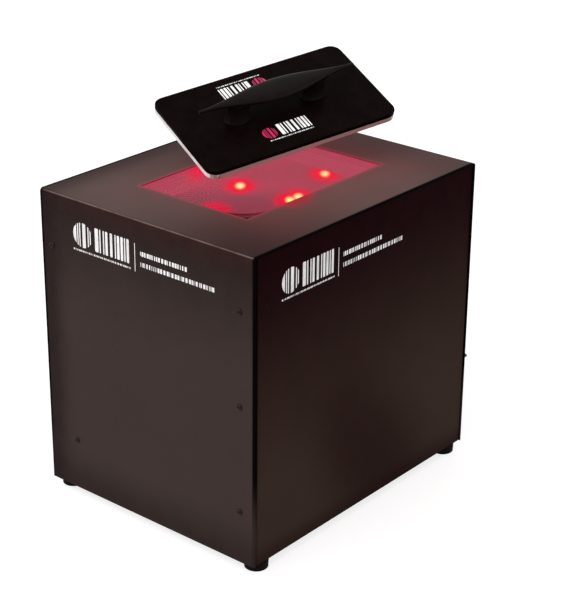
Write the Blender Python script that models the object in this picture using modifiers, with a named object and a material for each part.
"""Desktop barcode verifier.

A closed sheet-metal case stands on four rubber feet. A wrap cover forms its left wall, top and right
wall, and a folded chassis forms its base, front panel and rear panel. A flush window in the top looks
down on a camera between four red lamps. A press plate with a leaf-shaped grip lies over the window in
use. Here it is shown lifted and tilted, as it is held in the hand.

Frame: +X runs to the right along the front panel, +Y to the back and +Z up. All sizes are in metres.
"""
import math

import bmesh
import bpy
import numpy as np
from mathutils import Matrix, Vector

# Fits shared by all pieces
fit_gap = 0.0003
overrun = 0.002
bite = 0.0002
seam_merge = 0.00001
full_turn = 2 * math.pi
ring_sides = 16
small_sides = 10

# Case
case_width = 0.2838
case_depth = 0.2286
case_height = 0.264
foot_height = 0.008
sheet = 0.0015
bend_radius = 0.003
bend_steps = 4
panel_inset = 0.0012
panel_seam = 0.0006

# Chassis flanges
front_flange = 0.024
rear_flange = 0.040
top_flange = 0.016
corner_relief = 0.003

# Cover screws
screw_hole = 0.0018
screw_shank = 0.0015
screw_head = 0.0027
screw_head_height = 0.0014
screw_length = 0.008
front_screw_inset = 0.015
rear_screw_insets = (0.0116, 0.0316)
cover_screw_drops = (0.0465, 0.126, 0.218)
rear_screw_drops = (0.0465, 0.218)

# Feet
foot_inset_x = 0.014
foot_inset_y = 0.010
foot_radius = 0.0100
foot_base_radius = 0.0098
foot_seat = 0.0030
foot_round = 0.0012
foot_dimple_radius = 0.0040
foot_dimple = 0.0010
foot_stud_radius = 0.0020
foot_stud_hole = 0.0024
foot_nut_radius = 0.0042
foot_nut_height = 0.0030

# Nuts
nut_flats = 6
nut_radius = 0.0032
nut_height = 0.0024

# Window
window_width = 0.171
window_depth = 0.1146
window_fit = 0.0003
glass_set = 0.0002
glass_thickness = 0.004
gasket_thickness = 0.0009
ledge_width = 0.004
ledge_thickness = 0.0040
frame_margin = 0.012
stud_radius = 0.0015
stud_hole = 0.0018

# Light box under the window
box_wall = 0.0012
box_depth = 0.0160
port_side_floor = 0.0335
port_end_floor = 0.0333

# Lamps
lamp_left_gap = 0.0005
lamp_left_y = 0.0045
lamp_right_gap = 0.0040
lamp_right_y = -0.0080
lamp_front_gap = 0.0025
lamp_front_x = 0.0070
lamp_rear_gap = 0.0010
lamp_rear_x = 0.0020
lamp_pair_spacing = 0.0126
lamp_board_length = 0.030
lamp_board_width = 0.011
lamp_board_thickness = 0.0016
lamp_screw_spacing = 0.025
lamp_screw_hole = 0.0014
lamp_screw_radius = 0.0011
lamp_screw_head = 0.0019
lamp_screw_head_height = 0.0012
lamp_screw_length = 0.0032
cup_radius = 0.0048
cup_mouth_wall = 0.0005
cup_throat = 0.0029
cup_height = 0.0046
bulb_radius = 0.0024
bulb_height = 0.0056

# Camera
camera_width = 0.038
camera_height = 0.048
camera_bottom = 0.058
camera_rib_depth = 0.0012
camera_rib_width = 0.0030
camera_ribs = 5
camera_edge = 0.0015
camera_screw_rise = 0.012
camera_screw_spacing = 0.024
camera_screw_bite = 0.0030

# Lens
mount_radius = 0.0160
mount_height = 0.0040
lens_radius = 0.0155
neck_radius = 0.0128
iris_height = 0.0085
collar_height = 0.0040
focus_height = 0.0130
ring_fit = 0.0003
iris_radius = 0.0160
focus_radius = 0.0170
knurl_depth = 0.0008
knurl_edge = 0.0015
focus_teeth = 18
iris_teeth = 16
nose_height = 0.0060
nose_radius = 0.0150
glass_radius = 0.0105
glass_crown = 0.0016
glass_rim = 0.0025
lock_knob_radius = 0.0021
lock_knob_length = 0.0050
lock_shank_radius = 0.0009
lock_hole = 0.0012
lock_shank_reach = 0.0018

# Camera bracket
bracket_sheet = 0.0025
bracket_width = 0.058
bracket_foot = 0.034
bracket_height = 0.104
bracket_slot_width = 0.018
bracket_slot_height = 0.020
bracket_slot_rise = 0.022
bracket_screw_inset = 0.009

# Circuit boards
board_thickness = 0.0016
standoff_radius = 0.0030
standoff_height = 0.010
board_hole_inset = 0.0045
control_board_width = 0.076
control_board_depth = 0.120
control_board_x = -0.088
control_board_y = 0.010
driver_board_width = 0.064
driver_board_depth = 0.092
driver_board_x = 0.094
driver_board_y = 0.022
board_screw_length = 0.0048
chip_height = 0.0016
large_chip = 0.014
small_chip = 0.008
capacitor_radius = 0.0040
capacitor_height = 0.0105
header_length = 0.014
header_width = 0.0065
header_height = 0.0085
heatsink_length = 0.040
heatsink_width = 0.022
heatsink_base = 0.0025
heatsink_fin = 0.0012
heatsink_height = 0.016
heatsink_fins = 6

# Sockets on the rear panel
socket_height = 0.040
usb_socket_x = -0.062
usb_body_width = 0.0120
usb_body_height = 0.0110
usb_body_length = 0.0180
usb_flange_width = 0.0280
usb_flange_height = 0.0140
usb_flange_thickness = 0.0016
usb_mouth_width = 0.0086
usb_mouth_height = 0.0080
usb_mouth_depth = 0.0130
usb_tongue_width = 0.0056
usb_tongue_height = 0.0032
usb_tongue_set = 0.0060
usb_screw_spacing = 0.0210
power_socket_x = -0.096
jack_barrel_radius = 0.0055
jack_bore = 0.0033
jack_bore_depth = 0.0110
jack_pin_radius = 0.0010
jack_pin_set = 0.0060
jack_flange_radius = 0.0075
jack_flange_thickness = 0.0015
jack_length = 0.0140
jack_nut_radius = 0.0078
jack_nut_height = 0.0025

# Power switch on the right wall
switch_inset = 0.0105
switch_height = 0.086
switch_body_length = 0.0130
switch_body_width = 0.0080
switch_body_depth = 0.0100
bushing_radius = 0.0030
bushing_reach = 0.0075
bushing_bore = 0.0023
bushing_bore_depth = 0.0060
switch_nut_radius = 0.0046
switch_nut_height = 0.0020
lever_root_radius = 0.0011
lever_tip_radius = 0.0017
lever_reach = 0.0180
lever_ball = 0.0016
lever_throw = math.radians(24)

# Cables inside the case
cable_radius = 0.0018
thin_cable_radius = 0.0013
cable_steps = 6
plug_length = 0.012
plug_width = 0.009
plug_height = 0.007
camera_plug_height = 0.009

# Press plate, measured as it lies over the window
plate_length = 0.182
plate_width = 0.101
plate_thickness = 0.004
plate_corner = 0.0095
plate_edge = 0.0006
pad_thickness = 0.0038
pad_set_in = 0.0004
plate_shift_x = -0.0026
plate_shift_y = 0.0033
pivot_shift_x = -0.0228
pivot_shift_y = -0.0702
pivot_rise = 0.1082
lift_axis_shares = (0.694, -0.389, -0.606)
lift_angle = math.radians(28.8)

# Grip on the press plate
grip_length = 0.149
grip_width = 0.0245
grip_top = 0.0225
grip_thickness = 0.0085
grip_tip_thickness = 0.0028
grip_tip_width = 0.0022
grip_crown = 0.0020
grip_stations = 15
grip_section = 12
post_reach = 0.037
post_length = 0.0190
post_width = 0.0125
post_foot_length = 0.0250
post_foot_width = 0.0170
post_steps = 5
grip_screw_hole = 0.0017
grip_screw_radius = 0.0014
grip_screw_head = 0.0032
grip_screw_head_height = 0.0018
grip_screw_length = 0.0100

# Places worked out from the sizes above
case_top = foot_height + case_height
cover_underside = case_top - sheet
base_top = foot_height + sheet
panel_half = case_width / 2 - sheet - panel_seam
panel_y = case_depth / 2 - panel_inset
glass_top = case_top - glass_set
glass_bottom = glass_top - glass_thickness
ledge_top = glass_bottom - gasket_thickness - 2 * fit_gap
frame_bottom = ledge_top - ledge_thickness
view_width = window_width - 2 * ledge_width
view_depth = window_depth - 2 * ledge_width
port_width = view_width - 2 * port_side_floor
port_depth = view_depth - 2 * port_end_floor
stud_x = window_width / 2 + frame_margin / 2
stud_y = window_depth / 2 + frame_margin / 2
box_top = frame_bottom - fit_gap
box_floor = box_top - box_depth
lamp_board_top = box_floor + fit_gap + lamp_board_thickness
camera_top = camera_bottom + camera_height
neck_start = camera_top + fit_gap + mount_height
iris_bottom = neck_start + fit_gap
collar_bottom = iris_bottom + iris_height + fit_gap
focus_bottom = collar_bottom + collar_height + fit_gap
nose_bottom = focus_bottom + focus_height + fit_gap
lens_top = nose_bottom + nose_height
bracket_y = camera_width / 2 + fit_gap
board_bottom = base_top + standoff_height + 2 * fit_gap
board_top = board_bottom + board_thickness
switch_y = -case_depth / 2 + switch_inset
wall_x = case_width / 2
right_reach = wall_x + lever_reach
left_reach = wall_x + screw_head_height + fit_gap
lamp_half = lamp_board_width / 2
lamp_places = {
    "left": (-(port_width / 2 + lamp_left_gap + lamp_half), lamp_left_y),
    "right": (view_width / 2 - lamp_right_gap - lamp_half, lamp_right_y),
    "front": (lamp_front_x, -(port_depth / 2 + lamp_front_gap + lamp_half)),
    "rear": (lamp_rear_x, port_depth / 2 + lamp_rear_gap + lamp_half),
}


def new_collection(name):
    """Make a collection in the scene."""
    group = bpy.data.collections.new(name)
    bpy.context.scene.collection.children.link(group)
    return group


def clear_scene():
    """Remove every object that is in the scene."""
    for thing in list(bpy.data.objects):
        bpy.data.objects.remove(thing, do_unlink=True)


clear_scene()
parts = new_collection("barcode_verifier")
cutters = new_collection("cutters")
finishes = {}


def finish(name, colour, roughness, metallic=0.0):
    """Give the material of this name, making it the first time it is asked for."""
    if name not in finishes:
        made = bpy.data.materials.new(name)
        made.use_nodes = True
        shader = made.node_tree.nodes["Principled BSDF"]
        shader.inputs["Base Color"].default_value = (*colour, 1.0)
        shader.inputs["Roughness"].default_value = roughness
        shader.inputs["Metallic"].default_value = metallic
        finishes[name] = made
    return finishes[name]


satin_black = ("satin_black_paint", (0.020, 0.018, 0.019), 0.42)
chassis_black = ("panel_black_paint", (0.012, 0.011, 0.012), 0.45)
screw_black = ("blackened_screw", (0.010, 0.010, 0.010), 0.40, 0.6)
rubber_black = ("black_rubber", (0.012, 0.012, 0.012), 0.80)
steel = ("zinc_steel", (0.55, 0.55, 0.56), 0.35, 1.0)
brass = ("brass", (0.60, 0.45, 0.18), 0.30, 1.0)
clear_glass = ("window_glass", (0.90, 0.93, 0.92), 0.03)
gasket_foam = ("gasket_foam", (0.03, 0.03, 0.03), 0.95)
tray_plastic = ("light_box_plastic", (0.28, 0.05, 0.06), 0.60)
lamp_red = ("lamp_red", (0.95, 0.05, 0.05), 0.15)
board_green = ("board_green", (0.02, 0.16, 0.07), 0.45)
camera_grey = ("camera_aluminium", (0.20, 0.20, 0.21), 0.40, 0.8)
lens_black = ("lens_black", (0.02, 0.02, 0.02), 0.35, 0.3)
lens_glass = ("lens_glass", (0.05, 0.08, 0.12), 0.03)
plastic_black = ("black_plastic", (0.02, 0.02, 0.02), 0.50)
cable_black = ("cable_black", (0.02, 0.02, 0.02), 0.60)
cable_grey = ("cable_grey", (0.25, 0.25, 0.26), 0.60)
plate_black = ("plate_laminate", (0.008, 0.008, 0.008), 0.30)
pad_white = ("pad_white", (0.80, 0.80, 0.77), 0.70)
grip_black = ("grip_plastic", (0.012, 0.012, 0.012), 0.38)


def empty(name, location, parent=None):
    """Add an empty that carries other pieces."""
    thing = bpy.data.objects.new(name, None)
    thing.location = location
    thing.parent = parent
    parts.objects.link(thing)
    return thing


centre_shift = Vector(((left_reach - right_reach) / 2, 0, 0))
case = empty("case", centre_shift)


def place(name, bm, look, location=(0, 0, 0), parent=case):
    """Turn a bmesh into a named, finished object."""
    mesh = bpy.data.meshes.new(name)
    bm.to_mesh(mesh)
    bm.free()
    return place_mesh(name, mesh, look, location, parent)


def place_mesh(name, mesh, look, location=(0, 0, 0), parent=case):
    """Put a mesh into the parts collection as a named, finished object."""
    thing = bpy.data.objects.new(name, mesh)
    mesh.materials.clear()
    mesh.materials.append(finish(*look))
    thing.location = location
    thing.parent = parent
    parts.objects.link(thing)
    return thing


def smooth(thing, angle=math.radians(35)):
    """Shade a round piece smooth, with its corners kept sharp."""
    thing.data.shade_smooth()
    thing.data.set_sharp_from_angle(angle=angle)
    return thing


def add_box(bm, size, centre):
    """Add a box to a bmesh."""
    matrix = Matrix.Translation(centre) @ Matrix.Diagonal((*size, 1))
    return bmesh.ops.create_cube(bm, size=1, matrix=matrix)["verts"]


def add_rod(bm, radius, length, centre, axis="Z", sides=ring_sides, tip_radius=None):
    """Add a cylinder, or a cone where tip_radius is given, centred on a point and along an axis."""
    turns = {"X": Matrix.Rotation(math.pi / 2, 4, "Y"), "Y": Matrix.Rotation(-math.pi / 2, 4, "X")}
    matrix = Matrix.Translation(centre) @ turns.get(axis, Matrix.Identity(4))
    tip = radius if tip_radius is None else tip_radius
    made = bmesh.ops.create_cone(
        bm, cap_ends=True, segments=sides, radius1=radius, radius2=tip, depth=length, matrix=matrix
    )
    return made["verts"]


def cutter(name, bm, parent=case):
    """Keep a bmesh as a cutter: shown as wire, never rendered."""
    mesh = bpy.data.meshes.new(name)
    bm.to_mesh(mesh)
    bm.free()
    thing = bpy.data.objects.new(name, mesh)
    thing.parent = parent
    thing.hide_render = True
    thing.display_type = "WIRE"
    cutters.objects.link(thing)
    return thing


def apply_tool(thing, tool, operation):
    """Cut or join a piece with a tool by an exact Boolean."""
    change = thing.modifiers.new(operation.lower() + "_" + tool.name, "BOOLEAN")
    change.operation = operation
    change.solver = "EXACT"
    change.object = tool
    return thing


def cut(thing, tool):
    """Take a tool's shape out of a piece."""
    return apply_tool(thing, tool, "DIFFERENCE")


def join(thing, tool):
    """Join a tool's shape to a piece."""
    return apply_tool(thing, tool, "UNION")


def add_bevel(thing, width, segments=2):
    """Round a piece's sharp edges."""
    change = thing.modifiers.new("rounded_edges", "BEVEL")
    change.width = width
    change.segments = segments
    change.limit_method = "ANGLE"
    change.angle_limit = math.radians(40)
    return thing


def add_walls(thing, thickness, offset=-1.0):
    """Give an open surface its sheet thickness."""
    change = thing.modifiers.new("sheet_thickness", "SOLIDIFY")
    change.solidify_mode = "NON_MANIFOLD"
    change.nonmanifold_thickness_mode = "CONSTRAINTS"
    change.thickness = thickness
    change.offset = offset
    return thing


def settled_mesh(thing):
    """Give a new mesh of a piece with its modifiers worked in."""
    bpy.context.view_layer.update()
    graph = bpy.context.evaluated_depsgraph_get()
    return bpy.data.meshes.new_from_object(thing.evaluated_get(graph))


def turned_mesh(name, profile, sides=ring_sides):
    """Turn a profile of (radius, height) points about Z, as a mesh.

    The profile's outer side runs from top to bottom.
    """
    mesh = bpy.data.meshes.new(name + "_profile")
    points = [(radius, 0, height) for radius, height in profile]
    open_run = [(i, i + 1) for i in range(len(points) - 1)]
    closing = [] if profile[0][0] == 0 and profile[-1][0] == 0 else [(len(points) - 1, 0)]
    mesh.from_pydata(points, open_run + closing, [])
    guide = bpy.data.objects.new(name + "_profile", mesh)
    bpy.context.scene.collection.objects.link(guide)
    spin = guide.modifiers.new("turning", "SCREW")
    spin.steps = sides
    spin.render_steps = sides
    spin.use_merge_vertices = True
    spin.merge_threshold = seam_merge
    made = settled_mesh(guide)
    bpy.data.objects.remove(guide, do_unlink=True)
    bpy.data.meshes.remove(mesh)
    return made


def turned(name, profile, look, location=(0, 0, 0), sides=ring_sides, parent=case):
    """Make a turned piece from a profile of (radius, height) points."""
    return smooth(place_mesh(name, turned_mesh(name, profile, sides), look, location, parent))


def copies(name, mesh, matrices, parent=case):
    """Make a tool of separate copies of a mesh, to be joined to the piece that carries them."""
    bm = bmesh.new()
    for matrix in matrices:
        before = set(bm.verts)
        bm.from_mesh(mesh)
        added = [v for v in bm.verts if v not in before]
        bmesh.ops.transform(bm, matrix=matrix, verts=added)
    bpy.data.meshes.remove(mesh)
    return cutter(name, bm, parent)


def stand(name, mesh, matrix, look, parent=case):
    """Stand one copy of a shared mesh at a place, as a piece of its own."""
    thing = place_mesh(name, mesh, look, parent=parent)
    thing.matrix_basis = matrix
    return smooth(thing)


def screw_mesh(name, head, head_height, shank, length, sides=small_sides):
    """Make a pan-head screw along Z, with its head above zero and its shank below."""
    profile = [
        (0, head_height),
        (head * 0.6, head_height * 0.9),
        (head, head_height * 0.35),
        (head, 0),
        (shank, 0),
        (shank, -length),
        (0, -length),
    ]
    return turned_mesh(name, profile, sides)


def nut_mesh(name, radius, bore, height):
    """Make a hexagon nut with a bore, standing on zero along Z."""
    profile = [(bore, height), (radius, height), (radius, 0), (bore, 0)]
    mesh = turned_mesh(name, profile, 2 * nut_flats)
    for vert in mesh.vertices:
        turn = round(math.atan2(vert.co.y, vert.co.x) * nut_flats / math.pi)
        if turn % 2 and vert.co.xy.length > (bore + radius) / 2:
            vert.co.xy *= math.cos(math.pi / nut_flats)
    return mesh


def along(direction, point):
    """Give the matrix that turns +Z to a direction and moves zero to a point."""
    turn = Vector((0, 0, 1)).rotation_difference(Vector(direction)).to_matrix().to_4x4()
    return Matrix.Translation(point) @ turn


# Case: cover, chassis, screws and feet


def cover_screw_places():
    """Give the (y, z) of each cover screw on a side wall."""
    front_y = -case_depth / 2 + front_screw_inset
    front = [(front_y, case_top - drop) for drop in cover_screw_drops]
    rear = [
        (case_depth / 2 - inset, case_top - drop)
        for inset, drop in zip(rear_screw_insets, rear_screw_drops)
    ]
    return front + rear


def foot_places():
    """Give each foot's name and (x, y)."""
    x = case_width / 2 - foot_inset_x
    y = case_depth / 2 - foot_inset_y
    return {
        "front_left": (-x, -y),
        "front_right": (x, -y),
        "rear_left": (-x, y),
        "rear_right": (x, y),
    }


def cover_profile():
    """Give the cover's outer line in X and Z, up one wall, over the top and down the other."""
    right = []
    for step in range(bend_steps + 1):
        angle = math.pi / 2 * step / bend_steps
        reach = wall_x - bend_radius + bend_radius * math.cos(angle)
        level = case_top - bend_radius + bend_radius * math.sin(angle)
        right.append((reach, level))
    right.insert(0, (wall_x, foot_height))
    left = [(-x, z) for x, z in right]
    return left + right[::-1]


def build_cover():
    """Make the wrap cover, with its window cut-out, side holes and weld studs."""
    bm = bmesh.new()
    line = [bm.verts.new((x, -case_depth / 2, z)) for x, z in cover_profile()]
    edges = [bm.edges.new(pair) for pair in zip(line, line[1:])]
    grown = bmesh.ops.extrude_edge_only(bm, edges=edges)["geom"]
    moved = [v for v in grown if isinstance(v, bmesh.types.BMVert)]
    bmesh.ops.translate(bm, verts=moved, vec=(0, case_depth, 0))
    bmesh.ops.recalc_face_normals(bm, faces=bm.faces)
    face = max(bm.faces, key=lambda f: f.calc_center_median().z)
    if face.normal.z < 0:
        bmesh.ops.reverse_faces(bm, faces=bm.faces)
    cover = smooth(place("cover_shell", bm, satin_black))
    add_walls(cover, sheet)
    holes = bmesh.new()
    add_box(holes, (window_width, window_depth, sheet + 2 * overrun), (0, 0, case_top - sheet / 2))
    deep = sheet + 2 * overrun
    middle_x = wall_x - sheet / 2
    for y, z in cover_screw_places():
        for side in (-1, 1):
            add_rod(holes, screw_hole, deep, (side * middle_x, y, z), "X", small_sides)
    add_rod(holes, bushing_radius + fit_gap, deep, (middle_x, switch_y, switch_height), "X")
    cut(cover, cutter("cover_holes", holes))
    studs = bmesh.new()
    middle = cover_underside + sheet / 2
    length = middle - frame_bottom + box_wall + nut_height + 4 * fit_gap
    for x in (-stud_x, stud_x):
        for y in (-stud_y, stud_y):
            add_rod(studs, stud_radius, length, (x, y, middle - length / 2), sides=small_sides)
    join(cover, cutter("cover_studs", studs))


def fold(bm, edge, direction, width, relief):
    """Fold a flange off a sheet's edge, with both ends cut back by the relief."""
    low, high = edge.verts
    along_edge = (high.co - low.co).normalized()
    grown = bmesh.ops.extrude_edge_only(bm, edges=[edge])["geom"]
    edges = [e for e in grown if isinstance(e, bmesh.types.BMEdge)]
    new_edge = [e for e in edges if low not in e.verts and high not in e.verts][0]
    for vert in new_edge.verts:
        near_low = (vert.co - low.co).length < (vert.co - high.co).length
        vert.co += Vector(direction) * width + along_edge * (relief if near_low else -relief)
    return new_edge


def edge_at(bm, test):
    """Give the edge whose two ends both pass a test."""
    return [e for e in bm.edges if all(test(v.co) for v in e.verts)][0]


def near(value, target):
    """Say whether a coordinate is at a place."""
    return abs(value - target) < fit_gap / 10


def build_chassis():
    """Fold the base, front panel and rear panel from one sheet, with their inner flanges."""
    bm = bmesh.new()
    level = foot_height
    panel_top = cover_underside - panel_seam
    bmesh.ops.create_grid(
        bm,
        x_segments=1,
        y_segments=1,
        size=1,
        matrix=Matrix.Translation((0, 0, level)) @ Matrix.Diagonal((panel_half, panel_y, 1, 1)),
    )
    for side, flange in ((-1, front_flange), (1, rear_flange)):
        inward = (0, -side, 0)
        bottom = edge_at(bm, lambda co: near(co.y, side * panel_y) and near(co.z, level))
        upper = fold(bm, bottom, (0, 0, 1), panel_top - level, 0)
        fold(bm, upper, inward, top_flange, corner_relief + flange / 4)
        for end in (-1, 1):
            upright = edge_at(bm, lambda co: near(co.y, side * panel_y) and near(co.x, end * panel_half))
            fold(bm, upright, inward, flange, top_flange)
    bmesh.ops.recalc_face_normals(bm, faces=bm.faces)
    floor = min(bm.faces, key=lambda f: f.calc_center_median().z)
    if floor.normal.z > 0:
        bmesh.ops.reverse_faces(bm, faces=bm.faces)
    chassis = place("chassis", bm, chassis_black)
    add_walls(chassis, sheet)
    bosses = bmesh.new()
    for x, y in foot_places().values():
        add_boss(bosses, foot_nut_radius, foot_nut_height, x, y)
    for x, y in standoff_places():
        add_boss(bosses, standoff_radius, standoff_height, x, y)
    join(chassis, cutter("chassis_bosses", bosses))
    cut(chassis, cutter("chassis_holes", chassis_holes()))


def add_boss(bm, radius, height, x, y):
    """Add a hexagon pressed into the base: a nut or a standoff."""
    tall = height + bite
    add_rod(bm, radius, tall, (x, y, base_top + height - tall / 2), sides=nut_flats)


def chassis_holes():
    """Make the cutter for every hole in the chassis."""
    holes = bmesh.new()
    flange_x = panel_half - sheet / 2
    deep = sheet + 2 * overrun
    for y, z in cover_screw_places():
        for side in (-1, 1):
            add_rod(holes, screw_hole, deep, (side * flange_x, y, z), "X", small_sides)
    add_rod(holes, bushing_radius + fit_gap, deep, (flange_x, switch_y, switch_height), "X")
    for x, y in foot_places().values():
        tall = deep + foot_nut_height
        add_rod(holes, foot_stud_hole, tall, (x, y, foot_height - overrun + tall / 2), sides=12)
    for x, y in standoff_places():
        tall = board_screw_length + overrun
        add_rod(holes, stud_hole, tall, (x, y, base_top + standoff_height + overrun - tall / 2), sides=8)
    for x, y in bracket_screw_places():
        add_rod(holes, screw_hole, deep, (x, y, foot_height + sheet / 2), sides=small_sides)
    rear = panel_y - sheet / 2
    add_box(
        holes,
        (usb_body_width + 2 * fit_gap, deep, usb_body_height + 2 * fit_gap),
        (usb_socket_x, rear, socket_height),
    )
    for side in (-1, 1):
        add_rod(
            holes,
            lamp_screw_hole,
            deep,
            (usb_socket_x + side * usb_screw_spacing / 2, rear, socket_height),
            "Y",
            small_sides,
        )
    add_rod(holes, jack_barrel_radius + fit_gap, deep, (power_socket_x, rear, socket_height), "Y")
    return holes


def build_cover_screws():
    """Make the screws of both side walls, which share one mesh."""
    mesh = screw_mesh("cover_screw", screw_head, screw_head_height, screw_shank, screw_length)
    for wall, side in (("left", -1), ("right", 1)):
        for number, (y, z) in enumerate(cover_screw_places(), 1):
            spot = along((side, 0, 0), (side * (wall_x + fit_gap), y, z))
            stand(f"cover_screw_{wall}_{number}", mesh, spot, screw_black)


def build_feet():
    """Make the four rubber feet, each with the stud moulded into it."""
    top = foot_height - fit_gap
    profile = [
        (0, base_top + foot_nut_height),
        (foot_stud_radius, base_top + foot_nut_height),
        (foot_stud_radius, top),
        (foot_radius - foot_round, top),
        (foot_radius, top - foot_round),
        (foot_radius, foot_seat),
        (foot_base_radius, foot_round / 2),
        (foot_base_radius - foot_round, 0),
        (foot_dimple_radius, 0),
        (foot_dimple_radius, foot_dimple),
        (0, foot_dimple),
    ]
    mesh = turned_mesh("rubber_foot", profile)
    for name, (x, y) in foot_places().items():
        stand("foot_" + name, mesh, Matrix.Translation((x, y, 0)), rubber_black)


# Window, light box and lamps


def build_window():
    """Make the flush glass, its gasket, and the frame that carries both under the cover."""
    glass = bmesh.new()
    size = (window_width - 2 * window_fit, window_depth - 2 * window_fit, glass_thickness)
    add_box(glass, size, (0, 0, glass_top - glass_thickness / 2))
    place("window_glass", glass, clear_glass)
    seal = bmesh.new()
    middle = (0, 0, ledge_top + fit_gap + gasket_thickness / 2)
    add_box(seal, (window_width - 4 * window_fit, window_depth - 4 * window_fit, gasket_thickness), middle)
    gasket = place("window_gasket", seal, gasket_foam)
    opening = bmesh.new()
    inner = (view_width + ledge_width / 4, view_depth + ledge_width / 4, gasket_thickness + overrun)
    add_box(opening, inner, middle)
    cut(gasket, cutter("gasket_opening", opening))
    build_window_frame()


def build_window_frame():
    """Make the frame under the cover: a block with a rebate for the glass and a view opening."""
    block = bmesh.new()
    top = cover_underside - fit_gap
    tall = top - frame_bottom
    middle = (top + frame_bottom) / 2
    size = (window_width + 2 * frame_margin, window_depth + 2 * frame_margin, tall)
    add_box(block, size, (0, 0, middle))
    frame = place("window_frame", block, plastic_black)
    rebate = bmesh.new()
    deep = top - ledge_top + overrun
    add_box(rebate, (window_width, window_depth, deep), (0, 0, ledge_top + deep / 2))
    cut(frame, cutter("window_rebate", rebate))
    holes = bmesh.new()
    add_box(holes, (view_width, view_depth, tall + 2 * overrun), (0, 0, middle))
    for x in (-stud_x, stud_x):
        for y in (-stud_y, stud_y):
            add_rod(holes, stud_hole, tall + 2 * overrun, (x, y, middle), sides=small_sides)
    cut(frame, cutter("window_frame_holes", holes))


def build_light_box():
    """Make the tray that carries the lamps: floor with a camera port, walls and a top flange."""
    view_half = (view_width / 2, view_depth / 2)
    bm = bmesh.new()
    bmesh.ops.create_grid(
        bm,
        x_segments=1,
        y_segments=1,
        size=1,
        matrix=Matrix.Translation((0, 0, box_floor)) @ Matrix.Diagonal((*view_half, 1, 1)),
    )
    rim = list(bm.edges)
    for step in ("wall", "flange"):
        grown = bmesh.ops.extrude_edge_only(bm, edges=rim)["geom"]
        verts = [v for v in grown if isinstance(v, bmesh.types.BMVert)]
        if step == "wall":
            bmesh.ops.translate(bm, verts=verts, vec=(0, 0, box_depth))
        else:
            wide = (window_width + 2 * frame_margin) / view_width
            deep = (window_depth + 2 * frame_margin) / view_depth
            bmesh.ops.scale(bm, verts=verts, vec=(wide, deep, 1))
        rim = [e for e in bm.edges if e.is_boundary]
    bmesh.ops.recalc_face_normals(bm, faces=bm.faces)
    floor = min(bm.faces, key=lambda f: f.calc_center_median().z)
    if floor.normal.z < 0:
        bmesh.ops.reverse_faces(bm, faces=bm.faces)
    tray = place("light_box", bm, tray_plastic)
    add_walls(tray, box_wall)
    nuts = bmesh.new()
    tall = nut_height + bite
    for x in (-stud_x, stud_x):
        for y in (-stud_y, stud_y):
            add_rod(nuts, nut_radius, tall, (x, y, box_top - box_wall + bite - tall / 2), sides=nut_flats)
    join(tray, cutter("light_box_nuts", nuts))
    holes = bmesh.new()
    add_box(holes, (port_width, port_depth, box_wall + 2 * overrun), (0, 0, box_floor - box_wall / 2))
    for x in (-stud_x, stud_x):
        for y in (-stud_y, stud_y):
            reach = box_wall + nut_height + 2 * overrun
            add_rod(holes, stud_hole, reach, (x, y, box_top + overrun - reach / 2), sides=small_sides)
    for name in lamp_places:
        for x, y in screws_of_lamp(name):
            spot = (x, y, box_floor - box_wall / 2)
            add_rod(holes, lamp_screw_hole, box_wall + 2 * overrun, spot, sides=8)
    cut(tray, cutter("light_box_cuts", holes))


def lamp_stretch(name):
    """Say how much longer one lamp board is than the others: the front one carries a pair."""
    return lamp_pair_spacing if name == "front" else 0


def lamp_board_size(name):
    """Give the (x, y) size of one lamp board, which lies along its edge of the port."""
    length = lamp_board_length + lamp_stretch(name)
    if name in ("left", "right"):
        return (lamp_board_width, length)
    return (length, lamp_board_width)


def screws_of_lamp(name):
    """Give the (x, y) of the two screws of one lamp board, one near each end."""
    x, y = lamp_places[name]
    step = (lamp_screw_spacing + lamp_stretch(name)) / 2
    if name in ("left", "right"):
        return [(x, y - step), (x, y + step)]
    return [(x - step, y), (x + step, y)]


def lights_of(name):
    """Give the (x, y) of the lights on one lamp board: a pair on the front one, else one."""
    x, y = lamp_places[name]
    if name == "front":
        return [(x - lamp_pair_spacing / 2, y), (x + lamp_pair_spacing / 2, y)]
    return [(x, y)]


def build_lamps():
    """Make each lamp: its board with screws and reflector cups, and its red lights."""
    cup_mouth = cup_radius - cup_mouth_wall
    cup_level = lamp_board_top - bite
    cup = [
        (cup_mouth, cup_height),
        (cup_radius, cup_height),
        (cup_radius, 0),
        (cup_throat, 0),
        (cup_throat, cup_height / 4),
    ]
    straight = bulb_height - bulb_radius
    turns = [math.pi / 6 * k for k in range(4)]
    dome = [(bulb_radius * math.sin(turn), straight + bulb_radius * math.cos(turn)) for turn in turns[:3]]
    dome += [(bulb_radius, straight), (bulb_radius, 0), (0, 0)]
    light = turned_mesh("lamp_light", dome, small_sides)
    middle = box_floor + fit_gap + lamp_board_thickness / 2
    for name, (x, y) in lamp_places.items():
        bm = bmesh.new()
        add_box(bm, (*lamp_board_size(name), lamp_board_thickness), (x, y, middle))
        board = place("lamp_board_" + name, bm, board_green)
        screw = screw_mesh(
            "lamp_screws", lamp_screw_head, lamp_screw_head_height, lamp_screw_radius, lamp_screw_length, 8
        )
        spots = [Matrix.Translation((i, j, cup_level)) for i, j in screws_of_lamp(name)]
        join(board, copies("lamp_screws_" + name, screw, spots))
        spots = [Matrix.Translation((i, j, cup_level)) for i, j in lights_of(name)]
        join(board, copies("lamp_cups_" + name, turned_mesh("lamp_cup", cup, 12), spots))
        for number, (i, j) in enumerate(lights_of(name), 1):
            spot = Matrix.Translation((i, j, lamp_board_top + fit_gap))
            stand(f"lamp_light_{name}_{number}", light, spot, lamp_red)


# Camera and lens


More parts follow.
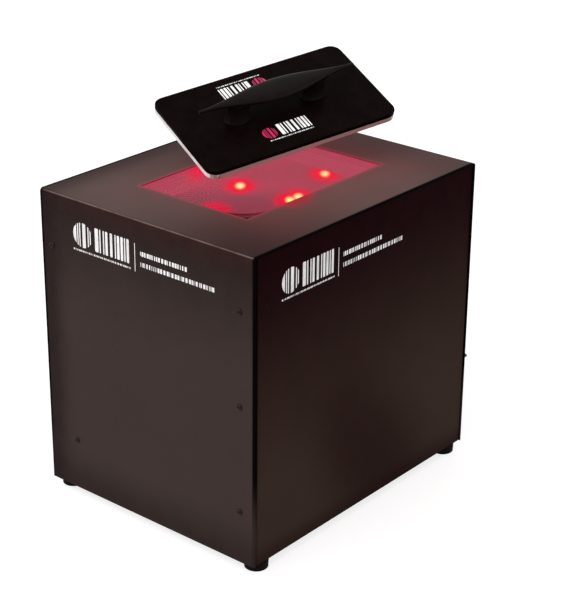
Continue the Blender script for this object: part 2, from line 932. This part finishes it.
def camera_screw_places():
    """Give the (x, z) of the screws that hold the camera to its bracket."""
    levels = (camera_bottom + camera_screw_rise, camera_bottom + camera_screw_rise + camera_screw_spacing)
    return [(side * camera_screw_spacing / 2, z) for side in (-1, 1) for z in levels]


def bracket_screw_places():
    """Give the (x, y) of the screws that hold the bracket's foot to the base."""
    x = bracket_width / 2 - bracket_screw_inset
    near_y = bracket_y + bracket_screw_inset
    far_y = bracket_y + bracket_foot - bracket_screw_inset
    return [(side * x, y) for side in (-1, 1) for y in (near_y, far_y)]


def build_camera():
    """Make the ribbed camera body, the bracket that carries it, and their screws."""
    body = bmesh.new()
    middle = camera_bottom + camera_height / 2
    add_box(body, (camera_width, camera_width, camera_height), (0, 0, middle))
    camera = add_bevel(place("camera_body", body, camera_grey), camera_edge, 1)
    grooves = bmesh.new()
    pitch = camera_height / (camera_ribs + 1)
    for rib in range(camera_ribs):
        level = camera_bottom + pitch * (rib + 1)
        for side in (-1, 1):
            reach = side * (camera_width / 2 - camera_rib_depth / 2 + overrun / 2)
            size = (camera_rib_depth + overrun, camera_width + overrun, camera_rib_width)
            add_box(grooves, size, (reach, 0, level))
    for x, z in camera_screw_places():
        add_rod(grooves, stud_hole, 2 * (camera_screw_bite + 2 * fit_gap), (x, camera_width / 2, z), "Y", 8)
    cut(camera, cutter("camera_cuts", grooves))
    build_bracket()


def build_bracket():
    """Fold the camera bracket: an upright behind the camera, and a foot on the base."""
    bm = bmesh.new()
    level = base_top + fit_gap
    half = bracket_width / 2
    low = [bm.verts.new((x, bracket_y + bracket_foot, level)) for x in (-half, half)]
    edge = bm.edges.new(low)
    for move in ((0, -bracket_foot, 0), (0, 0, bracket_height)):
        grown = bmesh.ops.extrude_edge_only(bm, edges=[edge])["geom"]
        verts = [v for v in grown if isinstance(v, bmesh.types.BMVert)]
        bmesh.ops.translate(bm, verts=verts, vec=move)
        edge = [e for e in bm.edges if set(e.verts) == set(verts)][0]
    bmesh.ops.recalc_face_normals(bm, faces=bm.faces)
    foot = min(bm.faces, key=lambda f: f.calc_center_median().z)
    if foot.normal.z > 0:
        bmesh.ops.reverse_faces(bm, faces=bm.faces)
    bracket = place("camera_bracket", bm, chassis_black)
    add_walls(bracket, bracket_sheet)
    mesh = screw_mesh(
        "camera_screws", screw_head, screw_head_height, screw_shank, bracket_sheet + camera_screw_bite, 8
    )
    seat = bracket_y + bracket_sheet - bite
    spots = [along((0, 1, 0), (x, seat, z)) for x, z in camera_screw_places()]
    join(bracket, copies("camera_screws", mesh, spots))
    mesh = screw_mesh("bracket_screws", screw_head, screw_head_height, screw_shank, bracket_sheet + sheet, 8)
    spots = [Matrix.Translation((x, y, level + bracket_sheet - bite)) for x, y in bracket_screw_places()]
    join(bracket, copies("bracket_screws", mesh, spots))
    slot = bmesh.new()
    size = (bracket_slot_width, bracket_sheet + 2 * overrun, bracket_slot_height)
    add_box(slot, size, (0, bracket_y + bracket_sheet / 2, level + bracket_slot_rise))
    cut(bracket, cutter("bracket_slot", slot))


def knurled_ring(name, radius, bore, height, teeth, level, lock_angle):
    """Make a knurled ring that turns on the lens, with a hole for its lock screw."""
    bm = bmesh.new()
    count = 4 * teeth
    rings = []
    for z, depth in ((0, knurl_depth), (knurl_edge, 0), (height - knurl_edge, 0), (height, knurl_depth)):
        ring = []
        for k in range(count):
            angle = full_turn * k / count
            tooth = radius if k % 4 < 2 else radius - knurl_depth
            reach = min(tooth, radius - depth)
            ring.append(bm.verts.new((reach * math.cos(angle), reach * math.sin(angle), z)))
        rings.append(ring)
    inner = []
    sides = count // 4
    for z in (height, 0):
        angles = [full_turn * k / sides for k in range(sides)]
        inner.append([bm.verts.new((bore * math.cos(a), bore * math.sin(a), z)) for a in angles])
    for low, high in zip(rings, rings[1:]):
        for k in range(count):
            bm.faces.new((low[k], low[(k + 1) % count], high[(k + 1) % count], high[k]))
    for k in range(sides):
        bm.faces.new((inner[0][k], inner[0][(k + 1) % sides], inner[1][(k + 1) % sides], inner[1][k]))
    for outer, ring in ((rings[-1], inner[0]), (rings[0], inner[1])):
        for k in range(sides):
            arc = [outer[(4 * k + step) % count] for step in range(5)]
            bm.faces.new([*arc, ring[(k + 1) % sides], ring[k]])
    bmesh.ops.recalc_face_normals(bm, faces=bm.faces)
    ring = place(name, bm, lens_black, (0, 0, level))
    hole = bmesh.new()
    reach = Vector((math.cos(lock_angle), math.sin(lock_angle), 0))
    rod = add_rod(hole, lock_hole, radius - bore + 2 * overrun, (0, 0, 0), "X", 8)
    centre = reach * (radius + bore) / 2 + Vector((0, 0, level + height / 2))
    matrix = Matrix.Translation(centre) @ Matrix.Rotation(lock_angle, 4, "Z")
    bmesh.ops.transform(hole, matrix=matrix, verts=rod)
    cut(ring, cutter(name + "_hole", hole))
    return ring


def lock_screw(name, ring_radius, level, angle):
    """Make the thumb screw that locks a lens ring, pointing out at an angle."""
    profile = [
        (0, lock_knob_length),
        (lock_knob_radius * 0.8, lock_knob_length),
        (lock_knob_radius, lock_knob_length * 0.85),
        (lock_knob_radius, lock_knob_length * 0.3),
        (lock_shank_radius * 1.4, 0),
        (lock_shank_radius, 0),
        (lock_shank_radius, -lock_shank_reach),
        (0, -lock_shank_reach),
    ]
    outward = Vector((math.cos(angle), math.sin(angle), 0))
    mesh = turned_mesh(name, profile, 8)
    mesh.transform(along(outward, outward * (ring_radius + fit_gap)))
    smooth(place_mesh(name, mesh, brass, (0, 0, level)))


def build_lens():
    """Make the lens: fixed barrel, iris ring, focus ring, nose ring and front element."""
    low = camera_top + fit_gap
    profile = [
        (0, nose_bottom - fit_gap),
        (neck_radius, nose_bottom - fit_gap),
        (neck_radius, focus_bottom - fit_gap),
        (lens_radius, focus_bottom - fit_gap),
        (lens_radius, collar_bottom),
        (neck_radius, collar_bottom),
        (neck_radius, neck_start),
        (mount_radius, neck_start),
        (mount_radius, low),
        (0, low),
    ]
    turned("lens_barrel", profile, lens_black, sides=24)
    iris_angle = -math.pi / 4
    focus_angle = -math.pi * 3 / 4
    bore = neck_radius + ring_fit
    knurled_ring("iris_ring", iris_radius, bore, iris_height, iris_teeth, iris_bottom, iris_angle)
    lock_screw("iris_lock_screw", iris_radius, iris_bottom + iris_height / 2, iris_angle)
    knurled_ring("focus_ring", focus_radius, bore, focus_height, focus_teeth, focus_bottom, focus_angle)
    lock_screw("focus_lock_screw", focus_radius, focus_bottom + focus_height / 2, focus_angle)
    seat = glass_radius + fit_gap
    nose = [
        (seat, lens_top),
        (nose_radius - knurl_depth, lens_top),
        (nose_radius, lens_top - knurl_depth),
        (nose_radius, nose_bottom),
        (seat - ledge_width / 4, nose_bottom),
        (seat - ledge_width / 4, nose_bottom + glass_rim / 2),
        (seat, nose_bottom + glass_rim / 2),
    ]
    turned("lens_nose_ring", nose, lens_black, sides=24)
    rest = nose_bottom + glass_rim / 2 + fit_gap
    crown = [
        (glass_radius * share, rest + glass_rim + glass_crown * (1 - share**2)) for share in (0, 0.35, 0.7, 1)
    ]
    turned("lens_element", crown + [(glass_radius, rest), (0, rest)], lens_glass)


# Circuit boards and what stands on them


def board_corners(width, depth, x, y):
    """Give the (x, y) of a board's four mounting holes."""
    reach_x = width / 2 - board_hole_inset
    reach_y = depth / 2 - board_hole_inset
    return [(x + i * reach_x, y + j * reach_y) for i in (-1, 1) for j in (-1, 1)]


def standoff_places():
    """Give the (x, y) of every standoff under the two boards."""
    control = board_corners(control_board_width, control_board_depth, control_board_x, control_board_y)
    driver = board_corners(driver_board_width, driver_board_depth, driver_board_x, driver_board_y)
    return control + driver


def build_board(name, width, depth, x, y):
    """Make one circuit board, with the screws that hold it at its corners."""
    bm = bmesh.new()
    add_box(bm, (width, depth, board_thickness), (x, y, board_bottom + board_thickness / 2))
    board = place(name, bm, board_green)
    screw = screw_mesh("board_screws", screw_head, screw_head_height, screw_shank, board_screw_length, 8)
    spots = [Matrix.Translation((i, j, board_top - bite)) for i, j in board_corners(width, depth, x, y)]
    return join(board, copies(name + "_screws", screw, spots))


def header_places():
    """Give each cable header's (x, y) on its board."""
    left, right = control_board_x, driver_board_x
    return {
        "camera": (left + control_board_width / 4, control_board_y - control_board_depth / 8),
        "usb": (left + control_board_width / 4, control_board_y + control_board_depth / 3),
        "power": (right - driver_board_width / 4, driver_board_y + driver_board_depth / 3),
        "switch": (right + driver_board_width / 5, driver_board_y - driver_board_depth * 2 / 5),
        "lamp": (right - driver_board_width / 4, driver_board_y - driver_board_depth * 2 / 5),
    }


def add_part(bm, size, x, y):
    """Add one soldered part, a box on the boards' upper face."""
    add_box(bm, (*size[:2], size[2] + bite), (x, y, board_top + (size[2] - bite) / 2))


def add_can(bm, x, y):
    """Add one round capacitor on the boards' upper face."""
    tall = capacitor_height + bite
    add_rod(bm, capacitor_radius, tall, (x, y, board_top - bite + tall / 2), sides=small_sides)


def build_boards():
    """Make the camera's control board and the lamps' driver board, with their soldered parts."""
    header = (header_length, header_width, header_height)
    places = header_places()
    x, y = control_board_x, control_board_y
    board = build_board("control_board", control_board_width, control_board_depth, x, y)
    bm = bmesh.new()
    row_x = x - control_board_width / 5
    for side, along_y in ((large_chip, 0), (large_chip, 1 / 4), (small_chip, -1 / 5)):
        add_part(bm, (side, side, chip_height), row_x, y + control_board_depth * along_y)
    for key in ("camera", "usb"):
        add_part(bm, header, *places[key])
    for k in (-1, 0, 1):
        add_can(bm, x + 3 * k * capacitor_radius, y - control_board_depth * 3 / 8)
    join(board, cutter("control_board_parts", bm))
    x, y = driver_board_x, driver_board_y
    board = build_board("driver_board", driver_board_width, driver_board_depth, x, y)
    bm = bmesh.new()
    add_part(bm, (small_chip, small_chip, chip_height), x - driver_board_width / 4, y)
    for key in ("power", "switch", "lamp"):
        add_part(bm, header, *places[key])
    for k in (0, 1):
        add_can(bm, x + driver_board_width / 8 + 3 * k * capacitor_radius, y + driver_board_depth / 3)
    join(board, cutter("driver_board_parts", bm))
    build_heatsink()


def build_heatsink():
    """Make the finned heat sink on the lamp driver board."""
    level = board_top + fit_gap
    x = driver_board_x + driver_board_width / 5
    y = driver_board_y
    bm = bmesh.new()
    add_box(bm, (heatsink_width, heatsink_length, heatsink_height), (x, y, level + heatsink_height / 2))
    sink = place("driver_heatsink", bm, steel)
    pitch = (heatsink_width - heatsink_fin) / (heatsink_fins - 1)
    gaps = bmesh.new()
    for k in range(heatsink_fins - 1):
        middle = x - heatsink_width / 2 + heatsink_fin / 2 + pitch * (k + 0.5)
        tall = heatsink_height - heatsink_base + overrun
        size = (pitch - heatsink_fin, heatsink_length + 2 * overrun, tall)
        add_box(gaps, size, (middle, y, level + heatsink_base + tall / 2))
    cut(sink, cutter("heatsink_gaps", gaps))


# Sockets and power switch


def build_usb_socket():
    """Make the flanged data socket with its tongue, and its two screws."""
    face = panel_y + fit_gap + usb_flange_thickness
    bm = bmesh.new()
    centre = (usb_socket_x, panel_y + fit_gap + usb_flange_thickness / 2, socket_height)
    add_box(bm, (usb_flange_width, usb_flange_thickness, usb_flange_height), centre)
    socket = place("usb_socket", bm, steel)
    body = bmesh.new()
    size = (usb_body_width, usb_body_length, usb_body_height)
    add_box(body, size, (usb_socket_x, face - usb_flange_thickness / 2 - usb_body_length / 2, socket_height))
    join(socket, cutter("usb_socket_body", body))
    mouth = bmesh.new()
    size = (usb_mouth_width, usb_mouth_depth + overrun, usb_mouth_height)
    add_box(mouth, size, (usb_socket_x, face - usb_mouth_depth + size[1] / 2, socket_height))
    cut(socket, cutter("usb_socket_mouth", mouth))
    tongue = bmesh.new()
    length = usb_mouth_depth - usb_tongue_set + fit_gap
    size = (usb_tongue_width, length, usb_tongue_height)
    add_box(tongue, size, (usb_socket_x, face - usb_tongue_set - length / 2, socket_height))
    join(socket, cutter("usb_socket_tongue", tongue))
    screw = screw_mesh(
        "usb_socket_screws", lamp_screw_head, lamp_screw_head_height, lamp_screw_radius, lamp_screw_length, 8
    )
    reach = usb_screw_spacing / 2
    spots = [along((0, 1, 0), (usb_socket_x + side * reach, face - bite, socket_height)) for side in (-1, 1)]
    join(socket, copies("usb_socket_screws", screw, spots))


def build_power_socket():
    """Make the round power inlet with its centre pin, and the nut behind the panel."""
    front = jack_flange_thickness + fit_gap
    back = front - jack_length
    bore_end = front - jack_bore_depth
    pin_end = front - jack_pin_set
    profile = [
        (0, pin_end),
        (jack_pin_radius, pin_end),
        (jack_pin_radius, bore_end),
        (jack_bore, bore_end),
        (jack_bore, front),
        (jack_flange_radius, front),
        (jack_flange_radius, fit_gap),
        (jack_barrel_radius, fit_gap),
        (jack_barrel_radius, back),
        (0, back),
    ]
    mesh = turned_mesh("power_socket", profile)
    mesh.transform(along((0, 1, 0), (0, 0, 0)))
    smooth(place_mesh("power_socket", mesh, plastic_black, (power_socket_x, panel_y, socket_height)))
    nut = nut_mesh("power_socket_nut", jack_nut_radius, jack_barrel_radius + fit_gap, jack_nut_height)
    spot = along((0, -1, 0), (power_socket_x, panel_y - sheet - fit_gap, socket_height))
    stand("power_socket_nut", nut, spot, steel)


def build_switch():
    """Make the toggle switch: body with its bushing, nut and lever."""
    inside = -(sheet + panel_seam + sheet + fit_gap)
    body = bmesh.new()
    size = (switch_body_depth, switch_body_width, switch_body_length)
    add_box(body, size, (wall_x + inside - switch_body_depth / 2, switch_y, switch_height))
    switch = place("switch_body", body, plastic_black)
    bushing = bmesh.new()
    reach = bushing_reach - inside + overrun
    centre = (wall_x + bushing_reach - reach / 2, switch_y, switch_height)
    add_rod(bushing, bushing_radius, reach, centre, "X")
    join(switch, cutter("switch_bushing", bushing))
    bore = bmesh.new()
    reach = bushing_bore_depth + overrun
    centre = (wall_x + bushing_reach - bushing_bore_depth + reach / 2, switch_y, switch_height)
    add_rod(bore, bushing_bore, reach, centre, "X")
    cut(switch, cutter("switch_bore", bore))
    nut = nut_mesh("switch_nut", switch_nut_radius, bushing_radius + fit_gap, switch_nut_height)
    spot = along((1, 0, 0), (wall_x + fit_gap, switch_y, switch_height))
    stand("switch_nut", nut, spot, steel)
    build_lever()


def build_lever():
    """Make the bat-shaped lever, tilted down to its rest throw about its pivot in the bushing."""
    pivot = bushing_reach - bushing_bore_depth + lever_ball + fit_gap
    reach = lever_reach - pivot
    profile = [
        (0, reach),
        (lever_tip_radius * 0.75, reach - lever_tip_radius * 0.3),
        (lever_tip_radius, reach - lever_tip_radius),
        (lever_root_radius, lever_ball * 1.2),
        (lever_ball, lever_ball * 0.3),
        (lever_ball * 0.8, -lever_ball * 0.7),
        (0, -lever_ball),
    ]
    lever = turned("switch_lever", profile, steel, (wall_x + pivot, switch_y, switch_height), 12)
    lever.rotation_euler = (0, math.pi / 2 + lever_throw / 2, 0)


# Cables inside the case


def smooth_route(points, steps):
    """Give points along a route: straight at both ends, and one smooth curve between them."""
    route = [points[0]]
    for before, start, end, after in zip(points, points[1:], points[2:], points[3:]):
        for step in range(steps):
            share = step / steps
            bend = -before + 3 * start - 3 * end + after
            lean = 2 * before - 5 * start + 4 * end - after
            route.append(start + 0.5 * (share * (end - before) + share**2 * lean + share**3 * bend))
    return [*route, points[-2], points[-1]]


def cable(name, points, radius, look):
    """Make a cable as a round curve along a smooth route."""
    route = smooth_route([Vector(point) for point in points], cable_steps)
    data = bpy.data.curves.new(name, "CURVE")
    data.dimensions = "3D"
    data.bevel_depth = radius
    data.bevel_resolution = 2
    data.use_fill_caps = True
    line = data.splines.new("POLY")
    line.points.add(len(route) - 1)
    for spot, point in zip(line.points, route):
        spot.co = (*point, 1)
    thing = bpy.data.objects.new(name, data)
    data.materials.append(finish(*look))
    thing.parent = case
    parts.objects.link(thing)


def build_cables():
    """Run each cable from its header to what it feeds."""
    level = board_top + 2 * fit_gap + header_height
    spots = {key: Vector((x, y, level)) for key, (x, y) in header_places().items()}
    rise = Vector((0, 0, header_height))
    plug_top = box_floor - box_wall - fit_gap
    beside_port = (port_width / 2 + view_width / 2) / 2
    lamp_plug = Vector((beside_port, port_depth / 2, plug_top - plug_height / 2))
    plug = bmesh.new()
    add_box(plug, (plug_length, plug_width, plug_height), lamp_plug)
    place("lamp_plug", plug, plastic_black)
    camera_plug = Vector((0, 0, camera_bottom - fit_gap - camera_plug_height / 2))
    plug = bmesh.new()
    add_box(plug, (plug_length, plug_width, camera_plug_height), camera_plug)
    place("camera_plug", plug, plastic_black)
    lamp_end = lamp_plug - Vector((0, 0, plug_height / 2 + fit_gap))
    edge = Vector((driver_board_x - driver_board_width / 8, -case_depth / 8, case_height / 2))
    cable(
        "lamp_cable",
        [spots["lamp"], spots["lamp"] + rise, edge, lamp_end - 3 * rise, lamp_end],
        cable_radius,
        cable_black,
    )
    camera_end = camera_plug - Vector((0, 0, camera_plug_height / 2 + fit_gap))
    halfway = Vector((spots["camera"].x / 2, spots["camera"].y, level + rise.z))
    cable(
        "camera_cable",
        [spots["camera"], spots["camera"] + rise, halfway, camera_end - rise, camera_end],
        cable_radius,
        cable_black,
    )
    usb_back = panel_y + usb_flange_thickness / 2 - usb_body_length
    usb_end = Vector((usb_socket_x, usb_back, socket_height))
    back = Vector((0, -header_height, 0))
    cable(
        "usb_cable", [spots["usb"], spots["usb"] + rise, usb_end + back, usb_end], cable_radius, cable_grey
    )
    jack_back = panel_y + jack_flange_thickness - jack_length
    jack_end = Vector((power_socket_x, jack_back, socket_height))
    cable(
        "power_cable",
        [
            spots["power"],
            spots["power"] + rise,
            Vector((0, panel_y - rear_flange / 2, socket_height + rise.z)),
            Vector((usb_socket_x, panel_y - rear_flange / 2, socket_height + 2 * rise.z)),
            jack_end + 2 * back + rise / 2,
            jack_end,
        ],
        thin_cable_radius,
        cable_black,
    )


def build_switch_cable():
    """Run the switch's own cable from the driver board to the back of its body."""
    level = board_top + 2 * fit_gap + header_height
    x, y = header_places()["switch"]
    start = Vector((x, y, level))
    rise = Vector((0, 0, header_height))
    inside = wall_x - 2 * sheet - panel_seam - fit_gap - switch_body_depth
    end = Vector((inside - fit_gap, switch_y, switch_height))
    back = Vector((-header_height, 0, 0))
    points = [start, start + rise, end + 2 * back - 2 * rise, end + back, end]
    cable("switch_cable", points, thin_cable_radius, cable_black)


# Press plate and its grip


def plate_hinge():
    """Add the empty that lifts and tilts the press plate off its place over the window."""
    spot = (pivot_shift_x, pivot_shift_y, case_top + pivot_rise)
    hinge = empty("plate_pivot", spot, case)
    hinge.rotation_mode = "AXIS_ANGLE"
    hinge.rotation_axis_angle = (lift_angle, *Vector(lift_axis_shares).normalized())
    return hinge


def rounded_outline(length, width, radius, steps=5):
    """Give the corner points of a rectangle with round corners."""
    points = []
    for turn, (i, j) in enumerate(((1, 1), (-1, 1), (-1, -1), (1, -1))):
        for step in range(steps + 1):
            angle = math.pi / 2 * (turn + step / steps)
            x = i * (length / 2 - radius) + radius * math.cos(angle)
            y = j * (width / 2 - radius) + radius * math.sin(angle)
            points.append((x, y))
    return points


def outline_mesh(name, points, thickness):
    """Make a flat outline into a solid plate, centred on zero in Z."""
    data = bpy.data.curves.new(name, "CURVE")
    data.dimensions = "2D"
    data.fill_mode = "BOTH"
    data.extrude = thickness / 2
    line = data.splines.new("POLY")
    line.points.add(len(points) - 1)
    for spot, (x, y) in zip(line.points, points):
        spot.co = (x, y, 0, 1)
    line.use_cyclic_u = True
    guide = bpy.data.objects.new(name, data)
    bpy.context.scene.collection.objects.link(guide)
    mesh = settled_mesh(guide)
    bpy.data.objects.remove(guide, do_unlink=True)
    bpy.data.curves.remove(data)
    bm = bmesh.new()
    bm.from_mesh(mesh)
    bmesh.ops.remove_doubles(bm, verts=bm.verts, dist=fit_gap / 10)
    bm.to_mesh(mesh)
    bm.free()
    return mesh


def build_press_plate():
    """Make the press plate, its white pad, its grip and the screws between them."""
    hinge = plate_hinge()
    origin = Vector((plate_shift_x - pivot_shift_x, plate_shift_y - pivot_shift_y, -pivot_rise))
    pad_middle = origin + Vector((0, 0, fit_gap + pad_thickness / 2))
    size = (plate_length - 2 * pad_set_in, plate_width - 2 * pad_set_in)
    outline = rounded_outline(*size, plate_corner - pad_set_in)
    mesh = outline_mesh("press_pad", outline, pad_thickness)
    place_mesh("press_pad", mesh, pad_white, pad_middle, hinge)
    plate_bottom = 2 * fit_gap + pad_thickness
    plate_middle = origin + Vector((0, 0, plate_bottom + plate_thickness / 2))
    outline = rounded_outline(plate_length, plate_width, plate_corner)
    mesh = outline_mesh("press_plate", outline, plate_thickness)
    plate = smooth(place_mesh("press_plate", mesh, plate_black, plate_middle, hinge))
    add_bevel(plate, plate_edge, 1)
    holes = bmesh.new()
    recesses = bmesh.new()
    deep = grip_screw_head_height + 2 * fit_gap + overrun
    for side in (-1, 1):
        spot = plate_middle + Vector((side * post_reach, 0, 0))
        add_rod(holes, grip_screw_hole, plate_thickness + 2 * overrun, spot, sides=small_sides)
        low = spot + Vector((0, 0, deep / 2 - overrun - plate_thickness / 2))
        add_rod(recesses, grip_screw_head + fit_gap, deep, low, sides=12)
    cut(plate, cutter("press_plate_holes", holes, hinge))
    cut(plate, cutter("press_plate_recesses", recesses, hinge))
    build_grip(hinge, origin, plate_bottom + plate_thickness + fit_gap)
    screw = screw_mesh(
        "grip_screw", grip_screw_head, grip_screw_head_height, grip_screw_radius, grip_screw_length
    )
    level = plate_bottom + grip_screw_head_height
    for name, side in (("left", -1), ("right", 1)):
        spot = along((0, 0, -1), origin + Vector((side * post_reach, 0, level)))
        stand("grip_screw_" + name, screw, spot, steel, hinge)


def grip_ring(share, seat):
    """Give the points of the grip's cross-section at a share of its half length."""
    taper = (1 + math.cos(math.pi * share)) / 2
    half_width = (grip_tip_width + (grip_width - grip_tip_width) * taper) / 2
    thickness = grip_tip_thickness + (grip_thickness - grip_tip_thickness) * taper
    top = seat + grip_top - grip_crown * share**2
    angles = np.linspace(0, full_turn, grip_section, endpoint=False)
    across = half_width * np.sign(np.cos(angles)) * np.abs(np.cos(angles)) ** 0.7
    lift = thickness / 2 * np.sign(np.sin(angles)) * np.abs(np.sin(angles)) ** 0.7
    return [(share * grip_length / 2, y, top - thickness / 2 + z) for y, z in zip(across, lift)]


def build_grip(hinge, origin, seat):
    """Loft the leaf-shaped blade of the grip, and join its two posts to it."""
    bm = bmesh.new()
    shares = [math.sin(math.pi / 2 * (2 * k / (grip_stations - 1) - 1)) for k in range(grip_stations)]
    rings = [[bm.verts.new(point) for point in grip_ring(share, seat)] for share in shares]
    for left, right in zip(rings, rings[1:]):
        for k in range(grip_section):
            step = (k + 1) % grip_section
            bm.faces.new((left[k], left[step], right[step], right[k]))
    bm.faces.new(rings[0])
    bm.faces.new(rings[-1])
    bmesh.ops.recalc_face_normals(bm, faces=bm.faces)
    grip = smooth(place("plate_grip", bm, grip_black, origin, hinge))
    posts = bmesh.new()
    for side in (-1, 1):
        add_post(posts, side * post_reach, seat)
    tool = cutter("grip_posts", posts, hinge)
    tool.location = origin
    join(grip, tool)
    holes = bmesh.new()
    for side in (-1, 1):
        deep = grip_screw_length - plate_thickness + overrun
        spot = origin + Vector((side * post_reach, 0, seat + deep / 2 - overrun / 2))
        add_rod(holes, grip_screw_hole, deep + overrun, spot, sides=8)
    cut(grip, cutter("grip_screw_holes", holes, hinge))


def add_post(bm, x, seat):
    """Add one flared oval post from the plate up into the blade."""
    top = seat + grip_top - grip_thickness / 2
    rings = []
    for step in range(post_steps):
        share = step / (post_steps - 1)
        flare = (1 - share) ** 3
        length = post_length + (post_foot_length - post_length) * flare
        width = post_width + (post_foot_width - post_width) * flare
        level = seat + (top - seat) * share
        angles = np.linspace(0, full_turn, 12, endpoint=False)
        ring = [(x + length / 2 * np.cos(a), width / 2 * np.sin(a), level) for a in angles]
        rings.append([bm.verts.new(point) for point in ring])
    for low, high in zip(rings, rings[1:]):
        for k in range(len(low)):
            step = (k + 1) % len(low)
            bm.faces.new((low[k], low[step], high[step], high[k]))
    bm.faces.new(rings[0][::-1])
    bm.faces.new(rings[-1])


build_cover()
build_chassis()
build_cover_screws()
build_feet()
build_window()
build_light_box()
build_lamps()
build_camera()
build_lens()
build_boards()
build_usb_socket()
build_power_socket()
build_switch()
build_cables()
build_switch_cable()
build_press_plate()
